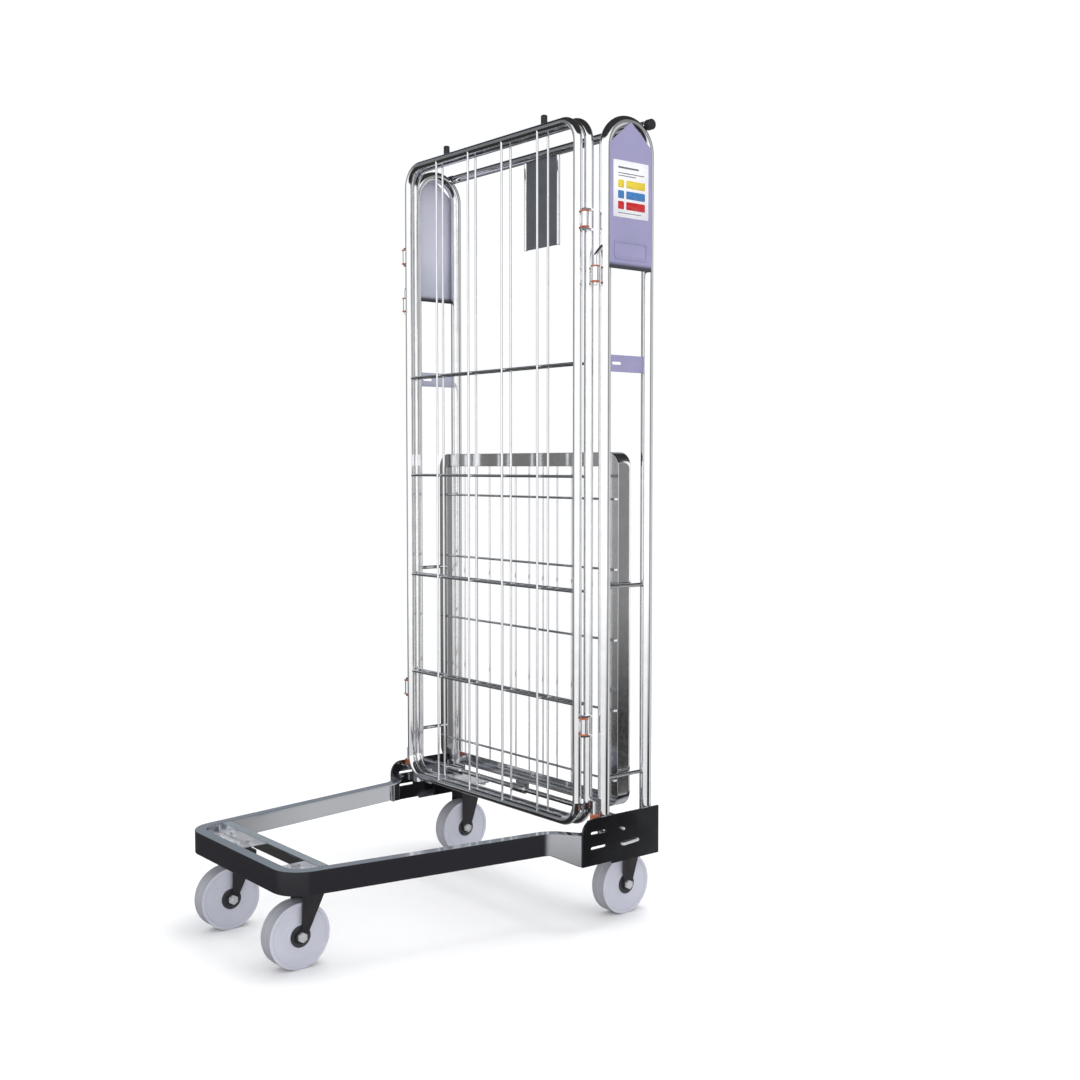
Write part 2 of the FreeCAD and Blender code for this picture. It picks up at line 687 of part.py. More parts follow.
def make_inner_gate_pivots():
    """Lower pivot pins with the straps that carry them."""
    ring_solid = gate_ring(INNER_GATE_X, INNER_GATE_Y, 0.0)
    pieces = []
    for side in (-1, 1):
        x = side * FRAME_PIN_X
        pin = rod(vec(x, FRAME_PIN_Y, BUSH_LOW_Z), vec(x, FRAME_PIN_Y, PIVOT_TOP_Z), PIN_RADIUS)
        front = (FRAME_PIN_Y + INNER_GATE_Y - HINGE_STRAP) / 2
        low = BUSH_HIGH_Z + CLEARANCE
        strap = block(side * INNER_GATE_X, x, front, front + HINGE_STRAP, low, PIVOT_TOP_Z)
        pieces.append(fuse([pin, strap.cut(ring_solid)]))
    return Part.makeCompound(pieces)


def make_leaf_pins():
    """Pins for the outer gate, held above and below by arms from the inner gate."""
    ring_solid = gate_ring(INNER_GATE_X, INNER_GATE_Y, 0.0)
    pieces = []
    for side in (-1, 1):
        x = side * LEAF_PIN_X
        for low, high in LEAF_HINGES_Z:
            bottom = low - ARM_GAP - ARM_THICK
            top = high + ARM_GAP
            pin = rod(vec(x, LEAF_PIN_Y, bottom), vec(x, LEAF_PIN_Y, top + ARM_THICK), PIN_RADIUS)
            arms = [make_leaf_arm(x, side, z).cut(ring_solid) for z in (bottom, top)]
            pieces.append(fuse([pin] + arms))
    return Part.makeCompound(pieces)


def make_leaf_arm(x, side, z):
    inner_x = x - side * SLEEVE_RADIUS
    outer_x = x + side * PIN_RADIUS
    return block(inner_x, outer_x, LEAF_PIN_Y - PIN_RADIUS, INNER_GATE_Y, z, z + ARM_THICK)


def make_outer_gate_hinges():
    """Sleeves on the leaf pins; the right ones are open clips."""
    ring_solid = gate_ring(OUTER_GATE_X, OUTER_GATE_Y, 0.0)
    pieces = []
    for side in (-1, 1):
        for low, high in LEAF_HINGES_Z:
            pieces.append(make_sleeve(
                side * LEAF_PIN_X, LEAF_PIN_Y, low, high,
                side * OUTER_GATE_X, OUTER_GATE_Y, side > 0, ring_solid))
    return Part.makeCompound(pieces)


def make_outer_gate_washers():
    pieces = []
    for side in (-1, 1):
        for low, high in LEAF_HINGES_Z:
            pieces += make_washers(side * LEAF_PIN_X, LEAF_PIN_Y, low, high, side > 0)
    return Part.makeCompound(pieces)


def make_pegs():
    ring_solid = gate_ring(INNER_GATE_X, INNER_GATE_Y, 0.0)
    y = INNER_GATE_Y - PEG_SETBACK
    high = PEG_TOP_Z - PEG_RADIUS
    pegs = [rod(vec(x, y, GATE_TOP_Z), vec(x, y, high), PEG_RADIUS) for x in (-PEG_X, PEG_X)]
    return Part.makeCompound([peg.cut(ring_solid) for peg in pegs])


def make_peg_caps():
    y = INNER_GATE_Y - PEG_SETBACK
    low = PEG_TOP_Z - PEG_CAP_HEIGHT
    caps = []
    for x in (-PEG_X, PEG_X):
        cap = rod(vec(x, y, low), vec(x, y, PEG_TOP_Z), PEG_CAP_RADIUS)
        crown = [e for e in cap.Edges if abs(e.CenterOfMass.z - PEG_TOP_Z) < TOLERANCE]
        cap = cap.makeFillet(PEG_CAP_RADIUS / 2, crown)
        caps.append(cap.cut(rod(vec(x, y, low), vec(x, y, PEG_TOP_Z - PEG_RADIUS), PEG_RADIUS)))
    return Part.makeCompound(caps)


# ---- hinge pieces on the frames ----------------------------------------------------------
def make_frame_pins():
    """Round bars bent forward from the front legs and down through the gate sleeves."""
    points = [
        vec(FRAME_PIN_X, FRONT_LEG_Y, PIN_WELD_Z),
        vec(FRAME_PIN_X, FRAME_PIN_Y, PIN_BEND_Z),
        vec(FRAME_PIN_X, FRAME_PIN_Y, PIN_TIP_Z),
    ]
    pin = bent_tube(path(points, [3 * PIN_RADIUS]), PIN_RADIUS)
    pin = pin.cut(leg_solid(FRONT_LEG_Y))
    return Part.makeCompound([pin, mirror_x(pin)])


def bush_mouth(x):
    """Cutter that opens the left bush and its tab to the front."""
    half = PIN_RADIUS + CLIP_GAP
    low = BUSH_LOW_Z - BUSH_TAB - CUT_OVER
    high = BUSH_HIGH_Z + CUT_OVER
    mouth = block(x - half, x + half, FRAME_PIN_Y - 2 * BUSH_TAB_HALF, FRAME_PIN_Y, low, high)
    return fuse([mouth, rod(vec(x, FRAME_PIN_Y, low), vec(x, FRAME_PIN_Y, high), half)])


def make_pivot_tabs():
    """Tabs inside the side plates that carry the lower pivot bushes."""
    tabs = []
    for side in (-1, 1):
        x = side * FRAME_PIN_X
        outer = side * (PLATE_OUTER_X - PLATE_THICK)
        low = BUSH_LOW_Z - BUSH_TAB
        y0 = FRAME_PIN_Y - BUSH_TAB_HALF
        y1 = FRAME_PIN_Y + BUSH_TAB_HALF
        tab = block(x - side * BUSH_TAB_HALF, outer, y0, y1, low, BUSH_LOW_Z)
        tabs.append(tab.cut(bush_mouth(x)) if side < 0 else tab)
    return Part.makeCompound(tabs)


def make_pivot_bushes():
    bushes = []
    for side in (-1, 1):
        x = side * FRAME_PIN_X
        low = vec(x, FRAME_PIN_Y, BUSH_LOW_Z)
        high = vec(x, FRAME_PIN_Y, BUSH_HIGH_Z)
        bush = ring(low, high, BUSH_RADIUS, PIN_RADIUS + PIN_FIT)
        bushes.append(bush.cut(bush_mouth(x)) if side < 0 else bush)
    return Part.makeCompound(bushes)


# ---- deck ----------------------------------------------------------------------------------
def make_deck_frame():
    """Angle section all round: a face towards the gates and an edge folded to the rear."""
    def rounded(inset, depth):
        half = DECK_HALF_WIDTH - inset
        low = DECK_BOTTOM_Z + inset
        high = DECK_TOP_Z - inset
        y = DECK_FRONT_Y
        points = [vec(-half, y, low), vec(half, y, low), vec(half, y, high), vec(-half, y, high)]
        corner = max(DECK_CORNER - inset, DECK_SHEET)
        wire = path(points, [corner] * 4, closed=True)
        return Part.Face(wire).extrude(vec(0, depth, 0))
    face = rounded(0.0, DECK_SHEET).cut(rounded(DECK_FACE, DECK_SHEET))
    edge = rounded(0.0, DECK_DEPTH).cut(rounded(DECK_SHEET, DECK_DEPTH))
    return fuse([face, edge])


def make_deck_long_wires():
    y = DECK_FRONT_Y + DECK_WIRE_RADIUS
    low = DECK_BOTTOM_Z + DECK_FACE
    high = DECK_TOP_Z - DECK_FACE
    wires = []
    for index in range(DECK_WIRES_EACH_SIDE):
        x = (index + 0.5) * DECK_WIRE_PITCH
        wires += [rod(vec(s * x, y, low), vec(s * x, y, high), DECK_WIRE_RADIUS) for s in (-1, 1)]
    return Part.makeCompound(wires)


def make_deck_cross_wires():
    y = DECK_FRONT_Y - DECK_CROSS_RADIUS
    reach = DECK_HALF_WIDTH - DECK_FACE / 4
    wires = [rod(vec(-reach, y, z), vec(reach, y, z), DECK_CROSS_RADIUS) for z in DECK_CROSS_Z]
    return Part.makeCompound(wires)


def make_deck_knuckles():
    knuckles = []
    for x in KNUCKLES_X:
        x0 = x - KNUCKLE_LENGTH / 2
        x1 = x + KNUCKLE_LENGTH / 2
        axis = [vec(x0, DECK_PIVOT_Y, DECK_PIVOT_Z), vec(x1, DECK_PIVOT_Y, DECK_PIVOT_Z)]
        tube = rod(axis[0], axis[1], KNUCKLE_RADIUS)
        link = block(x0, x1, DECK_FRONT_Y, DECK_FRONT_Y + DECK_SHEET, DECK_PIVOT_Z, DECK_BOTTOM_Z)
        body = fuse([tube, link])
        knuckles.append(body.cut(rod(axis[0], axis[1], DECK_ROD_RADIUS + KNUCKLE_FIT)))
    return Part.makeCompound(knuckles)


def make_deck_rod():
    reach = LEG_X + LEG_RADIUS
    ends = (vec(-reach, DECK_PIVOT_Y, DECK_PIVOT_Z), vec(reach, DECK_PIVOT_Y, DECK_PIVOT_Z))
    return rod(ends[0], ends[1], DECK_ROD_RADIUS)


# ---- castors ---------------------------------------------------------------------------------
def hexagon(centre, flats, height, direction):
    """Hexagonal prism for a bolt head or nut; direction is +X, -X or +Z."""
    radius = flats / math.sqrt(3)
    upright = abs(direction.z) > 0.5
    corners = []
    for index in range(7):
        angle = math.radians(60 * index + 30)
        along = radius * math.cos(angle)
        across = radius * math.sin(angle)
        offset = vec(along, across, 0) if upright else vec(0, along, across)
        corners.append(centre + offset)
    return Part.Face(Part.makePolygon(corners)).extrude(direction * height)


def make_castor_heads():
    """Top plate, upper race and kingpin of each castor."""
    heads = []
    for x, _, y in CASTORS.values():
        low = CASTOR_TOP_Z - MOUNT_SHEET
        half_x, half_y = CASTOR_PLATE_HALF_X, CASTOR_PLATE_HALF_Y
        plate = block(x - half_x, x + half_x, y - half_y, y + half_y, low, CASTOR_TOP_Z)
        race = rod(vec(x, y, UPPER_RACE_Z), vec(x, y, low), UPPER_RACE_RADIUS)
        pin = rod(vec(x, y, KINGPIN_HEAD_LOW_Z), vec(x, y, low), KINGPIN_RADIUS)
        head = rod(vec(x, y, KINGPIN_HEAD_LOW_Z), vec(x, y, CROWN_LOW_Z - CLEARANCE), KINGPIN_HEAD_RADIUS)
        body = fuse([plate, race, pin, head])
        for hole in castor_holes(x, y):
            body = body.cut(hole)
        heads.append(body)
    return Part.makeCompound(heads)


def make_ball_rings():
    rings = []
    for x, _, y in CASTORS.values():
        rings.append(ring(vec(x, y, BALL_RING_Z), vec(x, y, UPPER_RACE_Z), BALL_RING_OUTER, BALL_RING_INNER))
    return Part.makeCompound(rings)


def make_castor_bolts():
    """Four bolts and nuts for each castor."""
    fasteners = []
    plate_low = CASTOR_TOP_Z - MOUNT_SHEET
    mount_high = CASTOR_TOP_Z + MOUNT_SHEET
    for x, _, y in CASTORS.values():
        for side_x in (-1, 1):
            for side_y in (-1, 1):
                at = vec(x + side_x * CASTOR_BOLT_X, y + side_y * CASTOR_BOLT_Y, mount_high)
                tip = vec(at.x, at.y, plate_low - NUT_HEIGHT)
                shank = rod(tip, at, CASTOR_BOLT_RADIUS)
                bolt = fuse([shank, hexagon(at, NUT_FLATS, BOLT_HEAD_HEIGHT, Z_AXIS)])
                nut = hexagon(tip, NUT_FLATS, NUT_HEIGHT, Z_AXIS).cut(shank)
                fasteners += [bolt, nut]
    return Part.makeCompound(fasteners)


def make_fork(x, axle_y, y):
    """Pressed fork: crown and lower race about the swivel axis at y, and two tapered legs."""
    outer_x = FORK_INNER_X + FORK_SHEET
    front = y - FORK_HALF
    back = y + FORK_HALF
    crown = rod(vec(x, y, CROWN_LOW_Z), vec(x, y, CROWN_HIGH_Z), CROWN_RADIUS)
    bridge = block(x - outer_x, x + outer_x, front, back, CROWN_LOW_Z, CROWN_HIGH_Z)
    race = rod(vec(x, y, CROWN_HIGH_Z), vec(x, y, LOWER_RACE_Z), LOWER_RACE_RADIUS)
    outline = [
        (front, CROWN_HIGH_Z),
        (back, CROWN_HIGH_Z),
        (back, CROWN_LOW_Z - FORK_SHEET),
        (axle_y + FORK_FOOT_RADIUS, WHEEL_RADIUS),
        (max(front - FORK_LEAN, axle_y - FORK_FOOT_RADIUS), WHEEL_RADIUS),
    ]
    pieces = [crown, bridge, race]
    for side in (-1, 1):
        inner = x + side * FORK_INNER_X
        outer = x + side * outer_x
        pieces.append(plate_yz(outline, min(inner, outer), max(inner, outer)))
        foot = (vec(inner, axle_y, WHEEL_RADIUS), vec(outer, axle_y, WHEEL_RADIUS))
        pieces.append(rod(foot[0], foot[1], FORK_FOOT_RADIUS))
    body = fuse(pieces)
    low = vec(x, y, CROWN_LOW_Z - CUT_OVER)
    high = vec(x, y, LOWER_RACE_Z + CUT_OVER)
    body = body.cut(rod(low, high, KINGPIN_RADIUS + AXLE_FIT))
    ends = (vec(x - 2 * outer_x, axle_y, WHEEL_RADIUS), vec(x + 2 * outer_x, axle_y, WHEEL_RADIUS))
    return body.cut(rod(ends[0], ends[1], AXLE_RADIUS))


def make_axle(x, axle_y):
    """Axle bolt with its head on the outer side and its nut on the inner side."""
    out = X_AXIS if x > 0 else -X_AXIS
    centre = vec(x, axle_y, WHEEL_RADIUS)
    face = FORK_INNER_X + FORK_SHEET
    shank = rod(centre - out * AXLE_END, centre + out * face, AXLE_RADIUS)
    head = hexagon(centre + out * face, AXLE_HEAD_FLATS, AXLE_HEAD_HEIGHT, out)
    nut = hexagon(centre - out * face, AXLE_HEAD_FLATS, AXLE_NUT_HEIGHT, -out)
    return Part.makeCompound([fuse([shank, head]), nut.cut(shank)])


def make_wheel(x, axle_y):
    """Solid wheel: raised rim, recessed web and hub, on the X axis."""
    half = WHEEL_WIDTH / 2
    rim_inner = WHEEL_RADIUS - WHEEL_RIM
    profile = [
        (half, BEARING_RADIUS),
        (half, HUB_RADIUS),
        (half - WHEEL_RECESS, HUB_RADIUS + WHEEL_RECESS),
        (half - WHEEL_RECESS, rim_inner - WHEEL_RECESS),
        (half, rim_inner),
        (half, WHEEL_RADIUS - WHEEL_EDGE),
        (half - WHEEL_EDGE, WHEEL_RADIUS),
    ]
    outline = profile + [(-across, radius) for across, radius in reversed(profile)]
    points = [vec(x + across, axle_y, WHEEL_RADIUS + radius) for across, radius in outline]
    face = Part.Face(Part.makePolygon(points + points[:1]))
    return face.revolve(vec(x, axle_y, WHEEL_RADIUS), X_AXIS, 360)


def make_bearing(x, axle_y):
    """Bearing sleeve in the wheel with a thread guard on each side."""
    centre = vec(x, axle_y, WHEEL_RADIUS)
    half = WHEEL_WIDTH / 2
    body = rod(centre - X_AXIS * half, centre + X_AXIS * half, BEARING_RADIUS)
    guards = []
    for side in (-1, 1):
        start = centre + X_AXIS * (side * half)
        guards.append(rod(start, start + X_AXIS * (side * GUARD_THICK), GUARD_RADIUS))
    bore = rod(centre - X_AXIS * WHEEL_WIDTH, centre + X_AXIS * WHEEL_WIDTH, AXLE_RADIUS + AXLE_FIT)
    return fuse([body] + guards).cut(bore)


# ---- all nodes -------------------------------------------------------------------------------------
def make_nodes():
    nodes = {
        "base_frame": make_base_frame(),
        "nose_crossbar": make_nose_crossbar(),
        "castor_mounts": make_castor_mounts(),
        "side_rungs": make_side_bars(),
        "info_stickers": make_stickers(),
        "latch_plates": make_latch_plates(),
        "top_bar": make_top_bar(),
        "top_bar_caps": make_top_bar_caps(),
        "placard": make_placard(),
        "placard_hems": make_placard_hems(),
        "gate_hinge_pins": make_frame_pins(),
        "pivot_tabs": make_pivot_tabs(),
        "pivot_bushes": make_pivot_bushes(),
        "deck_hinge_rod": make_deck_rod(),
        "castor_heads": make_castor_heads(),
        "castor_ball_rings": make_ball_rings(),
        "castor_bolts": make_castor_bolts(),
        "inner_gate_frame": gate_ring(INNER_GATE_X, INNER_GATE_Y, GATE_WALL),
        "inner_gate_wires": make_gate_wires(INNER_GATE_X, INNER_GATE_Y, INNER_WIRES_X),
        "inner_gate_bars": make_gate_bars(INNER_GATE_X, INNER_GATE_Y),
        "inner_gate_hinges": make_inner_gate_hinges(),
        "inner_gate_washers": make_inner_gate_washers(),
        "inner_gate_pivots": make_inner_gate_pivots(),
        "leaf_hinge_pins": make_leaf_pins(),
        "gate_pegs": make_pegs(),
        "gate_peg_caps": make_peg_caps(),
        "outer_gate_frame": gate_ring(OUTER_GATE_X, OUTER_GATE_Y, GATE_WALL),
        "outer_gate_wires": make_gate_wires(OUTER_GATE_X, OUTER_GATE_Y, OUTER_WIRES_X),
        "outer_gate_bars": make_gate_bars(OUTER_GATE_X, OUTER_GATE_Y),
        "outer_gate_hinges": make_outer_gate_hinges(),
        "outer_gate_washers": make_outer_gate_washers(),
        "deck_frame": make_deck_frame(),
        "deck_long_wires": make_deck_long_wires(),
        "deck_cross_wires": make_deck_cross_wires(),
        "deck_knuckles": make_deck_knuckles(),
    }
    for name, side in SIDES.items():
        nodes["side_plate_" + name] = make_side_plate(side)
        nodes["side_frame_" + name] = make_side_frame(side)
        nodes["label_plate_" + name] = make_label_plate(side)
        nodes["tie_rods_" + name] = make_tie_rods(side)
    for name, (x, axle_y, swivel_y) in CASTORS.items():
        nodes["castor_fork_" + name] = make_fork(x, axle_y, swivel_y)
        nodes["axle_bolt_" + name] = make_axle(x, axle_y)
        nodes["wheel_" + name] = make_wheel(x, axle_y)
        nodes["wheel_bearing_" + name] = make_bearing(x, axle_y)
    return nodes


def main():
    os.makedirs("parts", exist_ok=True)
    for name, shape in make_nodes().items():
        shape.exportStep("parts/" + name + ".step")
        print(name, len(shape.Solids), "valid" if shape.isValid() else "INVALID", round(shape.Volume))


main()
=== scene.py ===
import json
import math

import bmesh
import bpy
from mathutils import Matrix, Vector

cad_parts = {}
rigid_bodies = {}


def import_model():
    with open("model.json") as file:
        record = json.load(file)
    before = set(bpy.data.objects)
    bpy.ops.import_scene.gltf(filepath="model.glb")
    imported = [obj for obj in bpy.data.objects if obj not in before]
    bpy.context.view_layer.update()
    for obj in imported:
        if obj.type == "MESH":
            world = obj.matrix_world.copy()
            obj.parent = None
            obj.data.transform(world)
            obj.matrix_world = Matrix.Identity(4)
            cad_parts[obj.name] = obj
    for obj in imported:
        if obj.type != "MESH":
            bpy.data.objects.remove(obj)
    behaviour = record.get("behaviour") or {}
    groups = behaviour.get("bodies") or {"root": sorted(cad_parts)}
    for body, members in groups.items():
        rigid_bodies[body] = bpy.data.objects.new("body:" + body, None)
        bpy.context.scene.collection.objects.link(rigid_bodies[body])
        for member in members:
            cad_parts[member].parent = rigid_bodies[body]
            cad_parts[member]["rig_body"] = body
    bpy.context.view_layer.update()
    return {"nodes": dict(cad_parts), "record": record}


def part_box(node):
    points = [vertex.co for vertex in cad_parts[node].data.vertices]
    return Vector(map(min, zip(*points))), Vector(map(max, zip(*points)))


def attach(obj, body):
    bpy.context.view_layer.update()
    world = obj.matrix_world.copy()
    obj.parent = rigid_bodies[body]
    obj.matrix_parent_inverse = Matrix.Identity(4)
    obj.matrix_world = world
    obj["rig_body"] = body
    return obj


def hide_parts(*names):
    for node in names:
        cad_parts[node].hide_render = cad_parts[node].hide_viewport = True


# Looks of a nesting roll cage container, in metres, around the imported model.

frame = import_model()
nodes = frame["nodes"]

MM = 0.001
SIDES = {"left": -1.0, "right": 1.0}
CASTORS = ("nose_left", "nose_right", "rear_left", "rear_right")
MERGE_DISTANCE = 0.002 * MM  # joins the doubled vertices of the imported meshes
FLAT_ANGLE = 0.6  # degrees between two faces, under which they merge
SHARP_ANGLE = 35.0  # degrees between two faces, over which their edge stays sharp
WHEEL_SHARP_ANGLE = 50.0
ROUNDED_SHARE = 0.45  # most of an edge's length that the rounding of one corner may take


# ---- camera --------------------------------------------------------------------------
CAMERA_PLACE = (2.4388, -1.6058, 0.9647)
CAMERA_TURN = (86.88, 0.0, 50.99)  # degrees about X, Y and Z
CAMERA_LENS = 45.236
CAMERA_SENSOR = 36.0


def make_camera():
    data = bpy.data.cameras.new("camera")
    data.lens = CAMERA_LENS
    data.sensor_width = CAMERA_SENSOR
    camera = bpy.data.objects.new("camera", data)
    camera.location = CAMERA_PLACE
    camera.rotation_euler = [math.radians(angle) for angle in CAMERA_TURN]
    bpy.context.scene.collection.objects.link(camera)
    bpy.context.scene.camera = camera
    bpy.context.scene.view_settings.view_transform = "Standard"


# ---- node tree helpers ---------------------------------------------------------------
NOISE_LOW, NOISE_HIGH = 0.3, 0.7  # the range that a noise texture mostly stays in
MIX_FIRST, MIX_SECOND, MIX_RESULT = 6, 7, 2  # colour sockets of the Mix node


class Tree:
    """Small wrapper that adds and links shader nodes."""

    def __init__(self, tree):
        self.tree = tree

    def add(self, kind, **values):
        node = self.tree.nodes.new(kind)
        for key, value in values.items():
            setattr(node, key, value)
        return node

    def link(self, source, target):
        self.tree.links.new(source, target)

    def noise(self, vector, scale, detail=3.0, roughness=0.5):
        node = self.add("ShaderNodeTexNoise")
        node.inputs["Scale"].default_value = scale
        node.inputs["Detail"].default_value = detail
        node.inputs["Roughness"].default_value = roughness
        self.link(vector, node.inputs["Vector"])
        return node.outputs["Fac"]

    def ramp(self, value, stops):
        """Colour ramp over (place, colour) stops, two or more; a number is a grey."""
        node = self.add("ShaderNodeValToRGB")
        elements = node.color_ramp.elements
        while len(elements) < len(stops):
            elements.new(0.5)
        for element, (place, colour) in zip(elements, stops):
            element.position = place
            element.color = opaque(colour)
        self.link(value, node.inputs["Fac"])
        return node.outputs["Color"]

    def spread(self, value, low, high):
        """Stretches a noise to the given range."""
        node = self.add("ShaderNodeMapRange")
        node.inputs["From Min"].default_value = NOISE_LOW
        node.inputs["From Max"].default_value = NOISE_HIGH
        node.inputs["To Min"].default_value = low
        node.inputs["To Max"].default_value = high
        self.link(value, node.inputs["Value"])
        return node.outputs["Result"]

    def math(self, operation, first, second=None):
        node = self.add("ShaderNodeMath", operation=operation)
        for socket, value in zip(node.inputs, (first, second)):
            if value is None:
                continue
            if isinstance(value, float):
                socket.default_value = value
            else:
                self.link(value, socket)
        return node.outputs["Value"]

    def mix(self, factor, first, second):
        """Colour mix by a grey factor; the second colour may be a plain one."""
        node = self.add("ShaderNodeMix", data_type="RGBA")
        self.link(factor, node.inputs["Factor"])
        self.link(first, node.inputs[MIX_FIRST])
        if isinstance(second, (tuple, float)):
            node.inputs[MIX_SECOND].default_value = opaque(second)
        else:
            self.link(second, node.inputs[MIX_SECOND])
        return node.outputs[MIX_RESULT]

    def split(self, vector):
        """X, Y and Z outputs of a vector."""
        node = self.add("ShaderNodeSeparateXYZ")
        self.link(vector, node.inputs["Vector"])
        return node.outputs


def opaque(colour):
    shade = colour if isinstance(colour, tuple) else (colour, colour, colour)
    return (*shade, 1.0)


# ---- stage: floor, world and lights --------------------------------------------------
FLOOR_REACH = 2.6  # from the middle to each edge


def make_floor():
    """Pale floor that fades out before its edges."""
    mesh = bpy.data.meshes.new("floor")
    quarters = ((-1, -1), (1, -1), (1, 1), (-1, 1))
    corners = [(x * FLOOR_REACH, y * FLOOR_REACH, 0) for x, y in quarters]
    mesh.from_pydata(corners, [], [(0, 1, 2, 3)])
    floor = bpy.data.objects.new("floor", mesh)
    bpy.context.scene.collection.objects.link(floor)
    material, tree, shader, place = start_material("floor")
    tone = tree.ramp(tree.noise(place, 3.0, 4.0), [(NOISE_LOW, 0.93), (NOISE_HIGH, 0.97)])
    tree.link(tone, shader.inputs["Base Color"])
    shader.inputs["Roughness"].default_value = 0.65
    shader.inputs["Specular IOR Level"].default_value = 0.1
    distance = tree.add("ShaderNodeVectorMath", operation="LENGTH")
    tree.link(place, distance.inputs[0])
    share = tree.math("DIVIDE", distance.outputs["Value"], FLOOR_REACH)
    tree.link(tree.ramp(share, [(0.45, 1.0), (0.92, 0.0)]), shader.inputs["Alpha"])
    mesh.materials.append(material)
    floor.visible_glossy = False


# Brightness that reflections see, by turn about the vertical, from 0 at -X through 0.25 at -Y,
# 0.5 at +X and 0.75 at +Y back to 1. Each belt is for a band of heights.
AROUND = [
    (0.000, 0.06), (0.035, 0.30), (0.055, 0.45), (0.068, 0.17), (0.112, 0.15), (0.130, 0.55),
    (0.200, 0.95), (0.330, 1.0), (0.520, 1.0), (0.548, 0.90), (0.565, 0.24), (0.630, 0.20),
    (0.655, 0.50), (0.700, 0.60), (0.790, 0.40), (0.830, 0.04), (0.980, 0.03), (1.000, 0.06)]
BELOW = [
    (0.000, 0.10), (0.040, 0.04), (0.130, 0.025), (0.170, 0.4), (0.240, 0.75), (0.470, 0.70),
    (0.500, 0.03), (0.621, 0.02), (0.636, 0.65), (0.700, 0.65), (0.790, 0.35), (0.850, 0.06),
    (1.000, 0.10)]
DEEP = [(0.000, 0.06), (0.040, 0.02), (0.612, 0.02), (0.640, 0.45), (0.800, 0.25), (1.000, 0.06)]
ABOVE = [
    (0.000, (0.25, 0.28, 0.31)), (0.120, (0.12, 0.13, 0.15)), (0.200, 0.02), (0.620, 0.02),
    (0.720, (0.15, 0.165, 0.19)), (0.800, (0.27, 0.30, 0.33)), (1.000, (0.25, 0.28, 0.31))]
TOP_GREY = 0.025
ROOF = [(0.080, 0.56), (0.180, 0.77), (0.620, 0.77), (0.740, 0.56)]  # height where ABOVE begins
ROOF_SHARPNESS = 30.0
STUDIO_STRENGTH = 1.15
SOFT_WHITE = (0.98, 0.985, 1.0)
SOFT_STRENGTH = 1.02


def make_world():
    """White for the camera and for soft light; a studio with dark flags for reflections."""
    world = bpy.data.worlds.new("studio")
    bpy.context.scene.world = world
    world.use_nodes = True
    tree = Tree(world.node_tree)
    parts = tree.split(tree.add("ShaderNodeTexCoord").outputs["Generated"])
    turn = tree.math("ARCTAN2", parts["Y"], parts["X"])
    turn = tree.math("ADD", tree.math("DIVIDE", turn, 2 * math.pi), 0.5)
    height = tree.math("ADD", tree.math("MULTIPLY", parts["Z"], 0.5), 0.5)
    over = tree.math("SUBTRACT", height, tree.ramp(turn, ROOF))
    over = tree.math("MULTIPLY", over, ROOF_SHARPNESS)
    over.node.use_clamp = True
    low_step = tree.ramp(height, [(0.354, 0.0), (0.361, 1.0)])
    middle_step = tree.ramp(height, [(0.395, 0.0), (0.455, 1.0)])
    top_step = tree.ramp(height, [(0.74, 0.0), (0.79, 1.0)])
    lower = tree.mix(low_step, tree.ramp(turn, DEEP), tree.ramp(turn, BELOW))
    lower = tree.mix(middle_step, lower, tree.ramp(turn, AROUND))
    sky = tree.mix(top_step, tree.ramp(turn, ABOVE), TOP_GREY)
    studio = tree.add("ShaderNodeBackground")
    studio.inputs["Strength"].default_value = STUDIO_STRENGTH
    tree.link(tree.mix(over, lower, sky), studio.inputs["Color"])
    plain = tree.add("ShaderNodeBackground")
    plain.inputs["Color"].default_value = opaque(SOFT_WHITE)
    plain.inputs["Strength"].default_value = SOFT_STRENGTH
    kind = tree.add("ShaderNodeLightPath")
    choose = tree.add("ShaderNodeMixShader")
    tree.link(kind.outputs["Is Glossy Ray"], choose.inputs[0])
    tree.link(plain.outputs[0], choose.inputs[1])
    tree.link(studio.outputs[0], choose.inputs[2])
    tree.link(choose.outputs[0], tree.tree.nodes["World Output"].inputs["Surface"])


LIGHT_TARGET = Vector((0.0, 0.0, 0.7))


def make_light(name, place, size, power):
    data = bpy.data.lights.new(name, "AREA")
    data.shape = "DISK"
    data.size = size
    data.energy = power
    light = bpy.data.objects.new(name, data)
    light.location = place
    aim = LIGHT_TARGET - Vector(place)
    light.rotation_euler = aim.to_track_quat("-Z", "Y").to_euler()
    light.visible_glossy = False
    light.visible_camera = False
    bpy.context.scene.collection.objects.link(light)


def make_lights():
    make_light("overhead", (0.3, 0.9, 4.2), 2.2, 60.0)
    make_light("front_left", (-0.8, -4.0, 2.2), 1.8, 14.0)
    make_light("right", (4.2, 0.6, 2.4), 1.8, 12.0)


# ---- materials -----------------------------------------------------------------------
def start_material(name):
    material = bpy.data.materials.new(name)
    material.use_nodes = True
    tree = Tree(material.node_tree)
    shader = tree.tree.nodes["Principled BSDF"]
    place = tree.add("ShaderNodeTexCoord").outputs["Object"]
    return material, tree, shader, place


def add_bump(tree, shader, height, strength, distance, edge=0.0):
    """Bump from a height, over edges rounded by the given radius."""
    bump = tree.add("ShaderNodeBump")
    bump.inputs["Strength"].default_value = strength
    bump.inputs["Distance"].default_value = distance
    tree.link(height, bump.inputs["Height"])
    if edge:
        rounding = tree.add("ShaderNodeBevel", samples=4)
        rounding.inputs["Radius"].default_value = edge
        tree.link(rounding.outputs["Normal"], bump.inputs["Normal"])
    tree.link(bump.outputs["Normal"], shader.inputs["Normal"])


